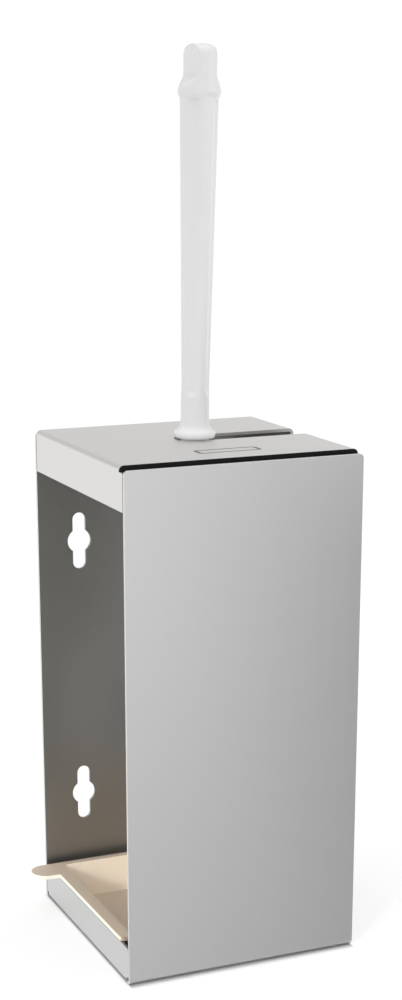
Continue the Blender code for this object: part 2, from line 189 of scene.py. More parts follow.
def add_object(name, bm, smooth=True, sharp_angle=32.0):
    """Turns a bmesh into an object with outward faces and sharp edges kept."""
    bmesh.ops.recalc_face_normals(bm, faces=bm.faces)
    mesh = bpy.data.meshes.new(name)
    bm.to_mesh(mesh)
    bm.free()
    if smooth:
        mesh.shade_smooth()
        mesh.set_sharp_from_angle(angle=math.radians(sharp_angle))
    obj = bpy.data.objects.new(name, mesh)
    bpy.context.scene.collection.objects.link(obj)
    return obj


def bake_modifiers(obj, helpers=()):
    """Replaces an object's mesh by its evaluated one and removes the helper objects."""
    graph = bpy.context.evaluated_depsgraph_get()
    baked = bpy.data.meshes.new_from_object(obj.evaluated_get(graph))
    obj.modifiers.clear()
    obj.data = baked
    for helper in helpers:
        bpy.data.objects.remove(helper, do_unlink=True)


def add_boolean(target, cutter, operation="DIFFERENCE"):
    modifier = target.modifiers.new(cutter.name, "BOOLEAN")
    modifier.object = cutter
    modifier.operation = operation
    modifier.solver = "EXACT"


def add_edge_bevel(obj, width, segments, angle=40.0):
    modifier = obj.modifiers.new("edges", "BEVEL")
    modifier.width = width
    modifier.segments = segments
    modifier.limit_method = "ANGLE"
    modifier.angle_limit = math.radians(angle)
    modifier.harden_normals = True


def box_mesh(low, high):
    """Box between two opposite corners."""
    bm = bmesh.new()
    bmesh.ops.create_cube(bm, size=1.0)
    centre = (Vector(low) + Vector(high)) / 2.0
    size = Vector(high) - Vector(low)
    for vert in bm.verts:
        vert.co = Vector((vert.co.x * size.x, vert.co.y * size.y, vert.co.z * size.z)) + centre
    return bm


def prism_mesh(outline, direction):
    """Flat outline pushed along a direction into a closed body."""
    bm = bmesh.new()
    face = bm.faces.new([bm.verts.new(point) for point in outline])
    extruded = bmesh.ops.extrude_face_region(bm, geom=[face])
    moved = [item for item in extruded["geom"] if isinstance(item, bmesh.types.BMVert)]
    bmesh.ops.translate(bm, verts=moved, vec=direction)
    return bm


def arc_points(centre, radius, start, end, steps):
    """Points of a 2-D arc, both ends included, angles in degrees."""
    points = []
    for index in range(steps + 1):
        angle = math.radians(start + (end - start) * index / steps)
        points.append((centre[0] + radius * math.cos(angle), centre[1] + radius * math.sin(angle)))
    return points


def rounded_rectangle(low, high, radius, steps=8):
    """Points of a rectangle with four round corners, counter-clockwise."""
    corners = (
        ((high[0] - radius, high[1] - radius), 0.0),
        ((low[0] + radius, high[1] - radius), 90.0),
        ((low[0] + radius, low[1] + radius), 180.0),
        ((high[0] - radius, low[1] + radius), 270.0),
    )
    points = []
    for centre, start in corners:
        points += arc_points(centre, radius, start, start + 90.0, steps)
    return points


def loft_mesh(sections):
    """Closed body through a stack of rings with equal point counts."""
    bm = bmesh.new()
    rings = [[bm.verts.new(point) for point in section] for section in sections]
    count = len(rings[0])
    for low, high in zip(rings, rings[1:]):
        for index in range(count):
            after = (index + 1) % count
            bm.faces.new((low[index], low[after], high[after], high[index]))
    bm.faces.new(list(reversed(rings[0])))
    bm.faces.new(rings[-1])
    return bm


def ring_points(radius_at, z, count):
    """Ring at one height, its radius a function of the angle."""
    points = []
    for index in range(count):
        angle = math.tau * index / count
        radius = radius_at(angle)
        points.append((radius * math.cos(angle), radius * math.sin(angle), z))
    return points


def smooth_between(low, high, value):
    """Smooth step from 0 to 1 as the value goes from low to high."""
    share = min(max((value - low) / (high - low), 0.0), 1.0)
    return share * share * (3.0 - 2.0 * share)


# ------------------------------------------------------------------ materials

class Nodes:
    """Small helper that adds shader nodes and links them."""

    def __init__(self, name):
        self.material = bpy.data.materials.new(name)
        self.material.use_nodes = True
        self.tree = self.material.node_tree
        self.shader = self.tree.nodes["Principled BSDF"]

    def add(self, kind, **settings):
        node = self.tree.nodes.new(kind)
        for key, value in settings.items():
            setattr(node, key, value)
        return node

    def link(self, source, target):
        self.tree.links.new(source, target)

    def stretched(self, scale):
        """Object coordinates scaled by axis, so that noise becomes grain along the short axes."""
        place = self.add("ShaderNodeTexCoord")
        mapping = self.add("ShaderNodeMapping")
        mapping.inputs["Scale"].default_value = scale
        self.link(place.outputs["Object"], mapping.inputs["Vector"])
        return mapping.outputs["Vector"]

    def noise(self, vector, scale, detail=4.0, roughness=0.6):
        node = self.add("ShaderNodeTexNoise")
        node.inputs["Scale"].default_value = scale
        node.inputs["Detail"].default_value = detail
        node.inputs["Roughness"].default_value = roughness
        self.link(vector, node.inputs["Vector"])
        return node.outputs["Fac"]

    def spread(self, value, low, high):
        """Maps a noise value to a range."""
        node = self.add("ShaderNodeMapRange")
        node.inputs["From Min"].default_value = 0.3
        node.inputs["From Max"].default_value = 0.7
        node.inputs["To Min"].default_value = low
        node.inputs["To Max"].default_value = high
        self.link(value, node.inputs["Value"])
        return node.outputs["Result"]

    def tint(self, value, dark, light):
        """Mixes two colours by a noise value."""
        node = self.add("ShaderNodeMix", data_type="RGBA")
        node.inputs["A"].default_value = (*dark, 1.0)
        node.inputs["B"].default_value = (*light, 1.0)
        self.link(self.spread(value, 0.0, 1.0), node.inputs["Factor"])
        return node.outputs["Result"]

    def axes(self):
        """Object coordinates as X, Y and Z sockets."""
        place = self.add("ShaderNodeTexCoord")
        split = self.add("ShaderNodeSeparateXYZ")
        self.link(place.outputs["Object"], split.inputs["Vector"])
        return split.outputs

    def maths(self, operation, *values):
        """One maths node; each value is a socket or a number."""
        node = self.add("ShaderNodeMath", operation=operation)
        for index, value in enumerate(values):
            if isinstance(value, (int, float)):
                node.inputs[index].default_value = value
            else:
                self.link(value, node.inputs[index])
        return node.outputs["Value"]

    def length(self, first, second):
        """Length of a vector with two parts."""
        squares = [self.maths("MULTIPLY", value, value) for value in (first, second)]
        return self.maths("SQRT", self.maths("ADD", *squares))

    def fade(self, value, start, end, low=0.0, high=1.0):
        """Smooth step from low to high as the value goes from start to end."""
        node = self.add("ShaderNodeMapRange", interpolation_type="SMOOTHSTEP")
        node.inputs["From Min"].default_value = start
        node.inputs["From Max"].default_value = end
        node.inputs["To Min"].default_value = low
        node.inputs["To Max"].default_value = high
        self.link(value, node.inputs["Value"])
        return node.outputs["Result"]

    def bump(self, value, strength, distance):
        node = self.add("ShaderNodeBump")
        node.inputs["Strength"].default_value = strength
        node.inputs["Distance"].default_value = distance
        self.link(value, node.inputs["Height"])
        self.link(node.outputs["Normal"], self.shader.inputs["Normal"])


def shade(colour, factor):
    return tuple(channel * factor for channel in colour)


def brushed_steel(name, grain_scale, colour, roughness):
    """Satin stainless sheet: fine grain along one direction, soft cloudy handling marks."""
    nodes = Nodes(name)
    grain = nodes.noise(nodes.stretched(grain_scale), 1.0, detail=6.0, roughness=0.7)
    clouds = nodes.noise(nodes.stretched((1.0, 1.0, 1.0)), 22.0, detail=3.0)
    colours = nodes.tint(grain, shade(colour, 0.985), shade(colour, 1.01))
    nodes.link(colours, nodes.shader.inputs["Base Color"])
    mixed = nodes.add("ShaderNodeMath", operation="ADD")
    nodes.link(nodes.spread(grain, roughness - 0.02, roughness + 0.02), mixed.inputs[0])
    nodes.link(nodes.spread(clouds, -0.012, 0.012), mixed.inputs[1])
    nodes.link(mixed.outputs["Value"], nodes.shader.inputs["Roughness"])
    nodes.shader.inputs["Metallic"].default_value = 1.0
    nodes.bump(grain, 0.10, 0.00004)
    return nodes.material


def moulded_plastic(name, colour, roughness, mottling=0.02, grain=0.06, subsurface=0.0):
    """Injection-moulded plastic: faint mottled colour, uneven gloss and a very fine orange peel."""
    nodes = Nodes(name)
    cloud = nodes.noise(nodes.stretched((1.0, 1.0, 1.0)), 60.0, detail=3.0)
    fine = nodes.noise(nodes.stretched((1.0, 1.0, 1.0)), 900.0, detail=2.0)
    colours = nodes.tint(cloud, shade(colour, 1.0 - mottling), shade(colour, 1.0 + mottling))
    nodes.link(colours, nodes.shader.inputs["Base Color"])
    nodes.link(nodes.spread(cloud, roughness - 0.03, roughness + 0.03), nodes.shader.inputs["Roughness"])
    nodes.shader.inputs["Subsurface Weight"].default_value = subsurface
    nodes.shader.inputs["Subsurface Radius"].default_value = (0.004, 0.003, 0.002)
    nodes.bump(fine, grain, 0.00005)
    return nodes.material


# -------------------------------------------------------------------- housing

def fold_profile(half_span, top, radius):
    """Section of a sheet folded up at both ends, as (across, up) points."""
    left = arc_points((-half_span + radius, radius), radius, 180.0, 270.0, FOLD_STEPS)
    right = arc_points((half_span - radius, radius), radius, 270.0, 360.0, FOLD_STEPS)
    return [(-half_span, top)] + left + right + [(half_span, top)]


def add_solidify(obj):
    """Gives a folded surface the sheet's thickness, inwards."""
    modifier = obj.modifiers.new("sheet", "SOLIDIFY")
    modifier.thickness = SHEET
    modifier.offset = -1.0
    modifier.use_even_offset = True


def keyhole_cutter(x, z):
    """Round hole with a slot above and below it, pushed through the back panel."""
    half_slot = KEYHOLE_SLOT_WIDTH / 2.0
    hole_radius = KEYHOLE_DIAMETER / 2.0
    end = KEYHOLE_LENGTH / 2.0 - half_slot
    meet = math.degrees(math.acos(half_slot / hole_radius))
    points = arc_points((0.0, 0.0), hole_radius, -meet, meet, 16)
    points += arc_points((0.0, end), half_slot, 0.0, 180.0, 16)
    points += arc_points((0.0, 0.0), hole_radius, 180.0 - meet, 180.0 + meet, 16)
    points += arc_points((0.0, -end), half_slot, 180.0, 360.0, 16)
    start_y = HALF_DEPTH - 3.0 * SHEET
    outline = [Vector((x + across, start_y, z + up)) for across, up in points]
    return prism_mesh(outline, Vector((0.0, 5.0 * SHEET, 0.0)))


def add_side_flange(bm, sign):
    """Low flange folded up at one side of the bottom, with a relief cut at each corner."""
    fold_end = HALF_DEPTH - FOLD_RADIUS - RELIEF_WIDTH
    lengths = (-HALF_DEPTH + SHEET + GAP, -fold_end, fold_end, HALF_DEPTH - SHEET - FLANGE_REAR_GAP)
    section = arc_points((HALF_WIDTH - FOLD_RADIUS, FOLD_RADIUS), FOLD_RADIUS, 270.0, 360.0, FOLD_STEPS)
    section += [(HALF_WIDTH, RELIEF_TOP), (HALF_WIDTH, SIDE_FLANGE_TOP)]
    columns = []
    for number, y in enumerate(lengths):
        kept = section if number in (1, 2) else section[-2:]
        columns.append([bm.verts.new((sign * across, y, up)) for across, up in kept])
    front_end, front, back, back_end = columns
    for index in range(len(section) - 1):
        bm.faces.new((front[index], front[index + 1], back[index + 1], back[index]))
    bm.faces.new((front_end[0], front_end[1], front[-1], front[-2]))
    bm.faces.new((back[-2], back[-1], back_end[1], back_end[0]))
    return front[0], back[0]


def make_wrap():
    """Front, bottom and back with the low side flanges, folded from one sheet."""
    bm = bmesh.new()
    inner = HALF_WIDTH - FOLD_RADIUS
    columns = (-HALF_WIDTH, -inner, inner, HALF_WIDTH)
    section = fold_profile(HALF_DEPTH, FRONT_TOP, FOLD_RADIUS)
    rows = [[bm.verts.new((x, across, up)) for x in columns] for across, up in section]
    bottom_row = FOLD_STEPS + 1
    for index in range(len(rows) - 1):
        if index == bottom_row:
            continue
        low, high = rows[index], rows[index + 1]
        for side in range(3):
            bm.faces.new((low[side], low[side + 1], high[side + 1], high[side]))
    bends = {sign: add_side_flange(bm, sign) for sign in (-1.0, 1.0)}
    bottom_front, bottom_back = rows[bottom_row], rows[bottom_row + 1]
    bm.faces.new((
        bottom_front[1], bends[-1.0][0], bends[-1.0][1], bottom_back[1],
        bottom_back[2], bends[1.0][1], bends[1.0][0], bottom_front[2],
    ))
    corners = [
        vert for vert in bm.verts
        if vert.co.z > FRONT_TOP - 1e-6 and abs(vert.co.x) > HALF_WIDTH - 1e-6
    ]
    bmesh.ops.bevel(
        bm, geom=corners, offset=FRONT_CORNER_RADIUS, segments=8,
        profile=0.5, affect="VERTICES",
    )
    wrap = add_object("steel_wrap", bm)
    if wrap.data.polygons[0].normal.y > 0.0:
        wrap.data.flip_normals()
    add_solidify(wrap)
    cutters = []
    for x in (-KEYHOLE_X, KEYHOLE_X):
        for z in KEYHOLE_HEIGHTS:
            cutters.append(add_object(f"keyhole_cutter_{len(cutters)}", keyhole_cutter(x, z)))
            add_boolean(wrap, cutters[-1])
    add_edge_bevel(wrap, SHEET_EDGE_BEVEL, 2)
    bake_modifiers(wrap, cutters)
    return wrap


def etched_frame_cutter():
    """Cutter for a plain shallow frame in the top plate, between the slot and the front edge."""
    outer_low = Vector((MARK_CENTRE[0] - MARK_SIZE[0] / 2.0, MARK_CENTRE[1] - MARK_SIZE[1] / 2.0))
    outer_high = Vector((MARK_CENTRE[0] + MARK_SIZE[0] / 2.0, MARK_CENTRE[1] + MARK_SIZE[1] / 2.0))
    line = Vector((MARK_LINE, MARK_LINE))
    outer = rounded_rectangle(outer_low, outer_high, MARK_RADIUS)
    inner = rounded_rectangle(outer_low + line, outer_high - line, MARK_RADIUS - MARK_LINE)
    bm = bmesh.new()
    loops = []
    for outline in (outer, inner):
        for z in (HEIGHT - MARK_DEPTH, HEIGHT + SHEET):
            loops.append([bm.verts.new((x, y, z)) for x, y in outline])
    outer_bottom, outer_top, inner_bottom, inner_top = loops
    count = len(outer)
    around = (outer_bottom, outer_top, inner_top, inner_bottom, outer_bottom)
    for one, two in zip(around, around[1:]):
        for index in range(count):
            after = (index + 1) % count
            bm.faces.new((one[index], one[after], two[after], two[index]))
    return add_object("mark_cutter", bm)


def make_cover():
    """Top plate with deep side flanges, a front lip and the slot for the brush."""
    front = COVER_LOW.y
    back = COVER_HIGH.y
    bm = bmesh.new()
    drop = HEIGHT - COVER_LOW.z
    section = [(x, HEIGHT - up) for x, up in fold_profile(HALF_WIDTH, drop, COVER_FOLD_RADIUS)]
    rows = [[bm.verts.new((x, y, z)) for y in (front, back)] for x, z in section]
    for low, high in zip(rows, rows[1:]):
        bm.faces.new((low[0], low[1], high[1], high[0]))
    cover = add_object("steel_cover", bm)
    if cover.data.polygons[FOLD_STEPS + 1].normal.z < 0.0:
        cover.data.flip_normals()
    add_solidify(cover)

    notch_y = -HALF_DEPTH + SHEET + FRONT_NOTCH_DEPTH
    reach = 2.0 * HALF_WIDTH
    notch = add_object(
        "notch_cutter",
        box_mesh((-reach, -reach, FRONT_NOTCH_BOTTOM), (reach, notch_y, HEIGHT + SHEET)),
    )
    add_boolean(cover, notch)
    lip_end = HALF_WIDTH - SHEET / 2.0
    lip_top = HEIGHT - SHEET / 2.0
    lip = add_object(
        "lip_join",
        box_mesh((-lip_end, notch_y, HEIGHT - FRONT_LIP_DEPTH), (lip_end, notch_y + SHEET, lip_top)),
    )
    add_boolean(cover, lip, "UNION")
    end = arc_points((SLOT_END_X, SLOT_Y), SLOT_WIDTH / 2.0, 90.0, 270.0, 24)
    outline = end + [(reach, SLOT_Y - SLOT_WIDTH / 2.0), (reach, SLOT_Y + SLOT_WIDTH / 2.0)]
    bottom = COVER_LOW.z - SHEET
    base = [Vector((x, y, bottom)) for x, y in outline]
    slot = add_object("slot_cutter", prism_mesh(base, Vector((0.0, 0.0, HEIGHT + SHEET - bottom))))
    add_boolean(cover, slot)
    mark = etched_frame_cutter()
    add_boolean(cover, mark)
    add_edge_bevel(cover, SHEET_EDGE_BEVEL, 2)
    bake_modifiers(cover, (notch, lip, slot, mark))
    return cover


def shaded_mill_steel():
    """Inside of the sheet: unpolished and rougher, with an even grain; its dark colour is painted shade of
    the housing's interior.
    """
    return brushed_steel("steel_mill_side", (500.0, 60.0, 60.0), (0.38, 0.375, 0.36), 0.40)


def is_inside(centre):
    """True for a face on the inner side of the sheet."""
    reach = SHEET / 2.0
    return (
        abs(centre.x) < HALF_WIDTH - reach
        and abs(centre.y) < HALF_DEPTH - reach
        and reach < centre.z < HEIGHT - reach
    )


def in_slot(centre):
    """True for a place in the brush slot or on its walls."""
    reach = SLOT_WIDTH / 2.0 + GAP
    return abs(centre.y - SLOT_Y) < reach and centre.x > SLOT_END_X - reach


def finish_wrap(wrap, shaded_mill):
    """Grain follows the sheet: up the panels, and along the side flanges. The side flanges are darker and
    the inner side is dark as painted shade.
    """
    panel, flange, cut_edge, shaded_inner_side = range(4)
    colour = (0.70, 0.70, 0.70)
    wrap.data.materials.append(brushed_steel("steel_panels", (2600.0, 14.0, 14.0), colour, 0.34))
    # painted shade: the side flanges are a darker copy of the panel steel
    dimmer = (0.60, 0.60, 0.60)
    wrap.data.materials.append(brushed_steel("steel_flanges_painted_shade", (14.0, 14.0, 2600.0), dimmer, 0.34))
    wrap.data.materials.append(brushed_steel("steel_cut_edges", (400.0, 400.0, 400.0), colour, 0.26))
    wrap.data.materials.append(shaded_mill)
    inside = HALF_WIDTH - FOLD_RADIUS
    for face in wrap.data.polygons:
        place = face.center
        face.material_index = panel
        if abs(face.normal.x) > 0.6 and abs(place.x) > inside and abs(place.y) > HALF_DEPTH - SHEET - GAP:
            face.material_index = cut_edge
        elif abs(place.x) > inside and abs(place.y) < HALF_DEPTH - SHEET - GAP / 2.0:
            face.material_index = flange
        # painted shade: the inner faces take the dark inside steel
        if is_inside(place):
            face.material_index = shaded_inner_side


def finish_cover(cover, shaded_mill):
    """Grain runs from side to side over the plate and down the flanges. Painted shade: the lip's face in
    the front groove is near-black, the inner side and the slot walls are darker steel.
    """
    sheet, painted_gap_shade, shaded_inner_side, etched, shaded_slot_wall = range(5)
    colour = (0.71, 0.70, 0.69)
    cover.data.materials.append(brushed_steel("steel_cover_sheet", (14.0, 2600.0, 14.0), colour, 0.34))
    cover.data.materials.append(gap_shade_steel())
    cover.data.materials.append(shaded_mill)
    dark = (0.16, 0.16, 0.16)
    cover.data.materials.append(brushed_steel("steel_etched", (900.0, 900.0, 900.0), dark, 0.6))
    # painted shade: the slot walls are darker than the other cut edges
    slot_shade_colour = (0.56, 0.555, 0.54)
    cover.data.materials.append(brushed_steel("steel_slot_edge_painted_shade", (900.0, 900.0, 60.0), slot_shade_colour, 0.4))
    lip_y = -HALF_DEPTH + SHEET + FRONT_NOTCH_DEPTH
    for face in cover.data.polygons:
        place = face.center
        in_groove = place.y < lip_y + GAP and place.z > HEIGHT - FRONT_LIP_DEPTH
        near_mark = abs(place.x - MARK_CENTRE[0]) < MARK_SIZE[0]
        face.material_index = sheet
        # painted shade: the lip's front face in the groove is near-black so that the gap reads as shadow
        if in_groove and face.normal.y < -0.5 and abs(place.x) < HALF_WIDTH:
            face.material_index = painted_gap_shade
        elif in_slot(place) and abs(face.normal.z) < 0.3 and place.z > HEIGHT - 2.0 * SHEET:
            face.material_index = shaded_slot_wall
        # painted shade: the inner faces take the dark inside steel
        elif is_inside(place):
            face.material_index = shaded_inner_side
        elif near_mark and face.normal.z > 0.9 and abs(HEIGHT - MARK_DEPTH - place.z) < MARK_DEPTH / 2.0:
            face.material_index = etched


def gap_shade_steel():
    """Near-black surface on the lip's face in the front groove: painted shade of the shadow gap."""
    nodes = Nodes("steel_dark_edge")
    streaks = nodes.noise(nodes.stretched((900.0, 900.0, 120.0)), 1.0)
    colours = nodes.tint(streaks, (0.004, 0.004, 0.004), (0.012, 0.011, 0.011))
    nodes.link(colours, nodes.shader.inputs["Base Color"])
    nodes.link(nodes.spread(streaks, 0.55, 0.75), nodes.shader.inputs["Roughness"])
    nodes.shader.inputs["Specular IOR Level"].default_value = 0.2
    nodes.bump(streaks, 0.2, 0.00005)
    return nodes.material


# ------------------------------------------------------------------ drip tray

def tray_outline():
    """Outline of the rim with the round pull tongue at the left rear."""
    radius = TRAY_CORNER_RADIUS
    front = TRAY_LOW.y
    back = TRAY_HIGH.y
    tip_radius = TONGUE_WIDTH / 2.0
    tip_x = TRAY_LOW.x + tip_radius
    root_y = back - TONGUE_WIDTH - radius
    points = arc_points((HALF_WIDTH - radius, back - radius), radius, 0.0, 90.0, 8)
    points += arc_points((tip_x, back - tip_radius), tip_radius, 90.0, 270.0, 40)
    points += arc_points((-HALF_WIDTH - radius, root_y), radius, 90.0, 0.0, 8)
    points += arc_points((-HALF_WIDTH + radius, front + radius), radius, 180.0, 270.0, 8)
    points += arc_points((HALF_WIDTH - radius, front + radius), radius, 270.0, 360.0, 8)
    return points


def basin_mesh(low_z, high_z, outset):
    """Drafted basin between two heights, grown outwards by the outset."""
    half_width = HALF_WIDTH - TRAY_SIDE_RIM + outset
    front = TRAY_LOW.y + TRAY_FRONT_RIM - outset
    back = TRAY_HIGH.y - TRAY_END_RIM + outset
    sections = []
    for z in (low_z, high_z):
        inset = TRAY_DRAFT * (TRAY_TOP - z) / (TRAY_TOP - TRAY_FLOOR)
        outline = rounded_rectangle(
            (-half_width + inset, front + inset), (half_width - inset, back - inset),
            BASIN_CORNER_RADIUS + outset,
        )
        sections.append([(x, y, z) for x, y in outline])
    return loft_mesh(sections)


def make_tray():
    """Flat rim with its tongue, and the basin hung below it."""
    base = [Vector((x, y, TRAY_TOP - TRAY_WALL)) for x, y in tray_outline()]
    tray = add_object("plastic_tray", prism_mesh(base, Vector((0.0, 0.0, TRAY_WALL))))
    outside = add_object("basin_join", basin_mesh(TRAY_LOW.z, TRAY_TOP - TRAY_WALL / 2.0, TRAY_WALL))
    add_boolean(tray, outside, "UNION")
    inside = add_object("basin_cutter", basin_mesh(TRAY_FLOOR, TRAY_TOP + TRAY_WALL, 0.0))
    add_boolean(tray, inside)
    add_edge_bevel(tray, TRAY_EDGE_BEVEL, 3, angle=28.0)
    bake_modifiers(tray, (outside, inside))
    finish_tray(tray)
    return tray


def finish_tray(tray):
    """Beige plastic; the rim's edge and the thin drafted walls let some light through, and their much
    lighter colours are painted light.
    """
    solid, lit_rim_edge, painted_light_wall = range(3)
    tray.data.materials.append(moulded_plastic("tray_plastic", (0.565, 0.465, 0.36), 0.42, subsurface=0.1))
    # painted highlight: the rim's outer edge is near-white where light falls on it; its subsurface is real
    # translucency
    tray.data.materials.append(moulded_plastic("tray_edge_painted_light", (0.97, 0.91, 0.76), 0.5, subsurface=0.3))
    # painted light: the drafted basin walls are lighter where light falls on them; their subsurface is real
    # translucency
    tray.data.materials.append(moulded_plastic("tray_thin_wall", (0.96, 0.825, 0.67), 0.42, subsurface=0.2))
    for face in tray.data.polygons:
        place = face.center
        tilt = abs(face.normal.z)
        on_tongue = place.x < -HALF_WIDTH
        outer = on_tongue or max(abs(place.x) - HALF_WIDTH, abs(place.y) - TRAY_HIGH.y) > -GAP
        face.material_index = solid
        if outer and tilt < 0.85 and place.z > TRAY_TOP - 1.2 * TRAY_WALL:
            face.material_index = lit_rim_edge
        elif not outer and 0.15 < tilt < 0.6 and TRAY_FLOOR < place.z < TRAY_TOP - TRAY_WALL / 2.0:
            face.material_index = painted_light_wall


# ---------------------------------------------------------------------- brush

def handle_profile():
    """Control points (height, radius) of the handle moulding, bottom to top."""
    flange = REST_FLANGE_BOTTOM
    return [
        (SPIGOT_BOTTOM, SPIGOT_RADIUS - 0.0008),
        (SPIGOT_BOTTOM + 0.0010, SPIGOT_RADIUS),
        (CORE_TOP + GAP, SPIGOT_RADIUS),
        (CORE_TOP + GAP + 0.0001, 0.0062),
        (CORE_TOP + GAP + 0.0008, 0.0068),
        (0.1600, 0.0064),
        (0.2400, 0.0070),
        (flange - 0.0001, 0.0070),
        (flange, 0.0094),
        (flange + 0.0004, 0.0098),
        (flange + 0.0010, 0.01012),
        (flange + 0.0018, 0.0102),
        (flange + 0.0026, 0.0100),
        (flange + 0.0033, 0.0094),
        (flange + 0.0038, 0.0086),
        (flange + 0.0043, 0.0078),
        (flange + 0.0052, 0.0072),
        (flange + 0.0066, 0.0070),
        (flange + 0.0090, 0.0069),
        (GRIP_BOTTOM, GRIP_RADIUS_LOW),
        (GRIP_TOP, GRIP_RADIUS_HIGH),
        (GRIP_TOP + 0.0003, 0.0097),
        (GRIP_TOP + 0.0008, 0.0099),
        (GRIP_TOP + 0.0014, 0.0101),
        (GRIP_TOP + 0.0021, 0.01015),
        (GRIP_TOP + 0.0028, 0.0101),
        (GRIP_TOP + 0.0036, 0.0099),
        (GRIP_TOP + 0.0045, 0.0097),
        (GRIP_TOP + 0.0060, 0.0095),
        (GRIP_TOP + 0.0080, 0.0094),
        (BRUSH_TOP - 0.0064, 0.0094),
        (BRUSH_TOP - 0.0052, 0.00932),
        (BRUSH_TOP - 0.0040, 0.0091),
        (BRUSH_TOP - 0.0030, 0.0087),
        (BRUSH_TOP - 0.0021, 0.0082),
        (BRUSH_TOP - 0.0013, 0.0074),
        (BRUSH_TOP - 0.0007, 0.0064),
        (BRUSH_TOP - 0.0003, 0.0054),
        (BRUSH_TOP, 0.0042),
    ]


def dense_profile(points, step):
    """Adds evenly spaced points between the control points, and closer ones where the flutes end."""
    dense = []
    for (z0, r0), (z1, r1) in zip(points, points[1:]):
        count = max(1, math.ceil((z1 - z0) / step))
        for index in range(count):
            share = index / count
            dense.append((z0 + (z1 - z0) * share, r0 + (r1 - r0) * share))
    dense.append(points[-1])
    flute_ends = ((GRIP_BOTTOM, 2.0 * FLUTE_END_LENGTH), (GRIP_TOP - FLUTE_TOP_LENGTH, FLUTE_TOP_LENGTH))
    for start, length in flute_ends:
        for index in range(1, FLUTE_END_RINGS):
            z = start + length * index / FLUTE_END_RINGS
            share = (z - GRIP_BOTTOM) / (GRIP_TOP - GRIP_BOTTOM)
            dense.append((z, GRIP_RADIUS_LOW + (GRIP_RADIUS_HIGH - GRIP_RADIUS_LOW) * share))
    return sorted(dense)


def scoop_half_thickness(angle, z):
    """Half thickness of the finger tab; the scoop on one side is a little deeper."""
    curve = TAB_HALF_FRONT * (1.0 - smooth_between(SCOOP_BOTTOM, SCOOP_BOTTOM + SCOOP_FILLET, z)) ** 1.4
    overhang = TAB_OVERHANG * smooth_between(BRUSH_TOP - 0.0080, BRUSH_TOP - 0.0040, z)
    flat = TAB_HALF_FRONT if math.cos(angle) > 0.0 else TAB_HALF_BACK
    return flat + curve + overhang


def handle_radius(angle, z, radius):
    """Radius at one angle: four flutes along the grip, two scoops at the finger tab."""
    if GRIP_BOTTOM < z < GRIP_TOP:
        quarter = math.pi / 2.0
        from_flute = angle % quarter - quarter / 2.0
        across = min(abs(from_flute) / FLUTE_HALF_ANGLE, 1.0)
        end = FLUTE_END_LENGTH * (1.0 - math.sqrt(1.0 - across * across))
        rise = smooth_between(GRIP_BOTTOM + end, GRIP_BOTTOM + end + FLUTE_END_LENGTH, z)
        fall = 1.0 - smooth_between(GRIP_TOP - FLUTE_TOP_LENGTH, GRIP_TOP, z)
        depth = FLUTE_DEPTH_SHARE * radius * math.cos(across * quarter) ** 2
        return radius - depth * rise * fall
    if z > SCOOP_BOTTOM:
        limit = scoop_half_thickness(angle, z) / max(abs(math.cos(angle)), 0.05)
        return (radius ** -SCOOP_ROUNDNESS + limit ** -SCOOP_ROUNDNESS) ** (-1.0 / SCOOP_ROUNDNESS)
    return radius


def brush_matrix():
    """Places the upright brush in the holder: on its axis, turned and leaning."""
    core_centre = (CORE_LOW + CORE_HIGH) / 2.0
    hang_x = core_centre.x + math.tan(BRUSH_LEAN) * (HEIGHT - core_centre.z)
    hang = Matrix.Translation((hang_x, core_centre.y, HEIGHT))
    lean = Euler((0.0, BRUSH_LEAN, BRUSH_TURN)).to_matrix().to_4x4()
    return hang @ lean @ Matrix.Translation((0.0, 0.0, -HEIGHT))


def make_handle():
    """Spigot, stem, rest flange, fluted grip, collar and finger tab in one moulding."""
    sections = []
    for z, radius in dense_profile(handle_profile(), HANDLE_RING_STEP):
        sections.append(ring_points(lambda angle: handle_radius(angle, z, radius), z, HANDLE_SEGMENTS))
    bm = loft_mesh(sections)
    bmesh.ops.transform(bm, matrix=brush_matrix(), verts=bm.verts)
    handle = add_object("white_handle", bm, sharp_angle=55.0)
    white = moulded_plastic("handle_plastic", (0.73, 0.73, 0.73), 0.18, mottling=0.004, grain=0.03)
    handle.data.materials.append(white)
    return handle


def make_core():
    """Core of the head: domed ends and a socket for the spigot."""
    socket = SPIGOT_RADIUS + GAP
    profile = [
        (CORE_BOTTOM, 0.0080), (CORE_BOTTOM + 0.0004, 0.0092), (CORE_BOTTOM + 0.0012, 0.0103),
        (CORE_BOTTOM + CORE_DOME, CORE_RADIUS),
    ]
    straight = CORE_TOP - CORE_SHOULDER - CORE_BOTTOM - CORE_DOME
    for index in range(1, CORE_RING_STEPS):
        profile.append((CORE_BOTTOM + CORE_DOME + straight * index / CORE_RING_STEPS, CORE_RADIUS))
    profile += [
        (CORE_TOP - CORE_SHOULDER, CORE_RADIUS), (CORE_TOP - 0.0036, 0.0104), (CORE_TOP - 0.0015, 0.0094),
        (CORE_TOP - 0.0003, 0.0084), (CORE_TOP, 0.0078), (CORE_TOP, socket), (SPIGOT_BOTTOM - GAP, socket),
    ]
    sections = [ring_points(lambda angle: radius, z, CORE_SEGMENTS) for z, radius in profile]
    bm = loft_mesh(sections)
    bmesh.ops.transform(bm, matrix=brush_matrix(), verts=bm.verts)
    core = add_object("head_core", bm, sharp_angle=40.0)
    core.data.materials.append(moulded_plastic("core_plastic", (0.82, 0.82, 0.81), 0.34, mottling=0.01))
    return core


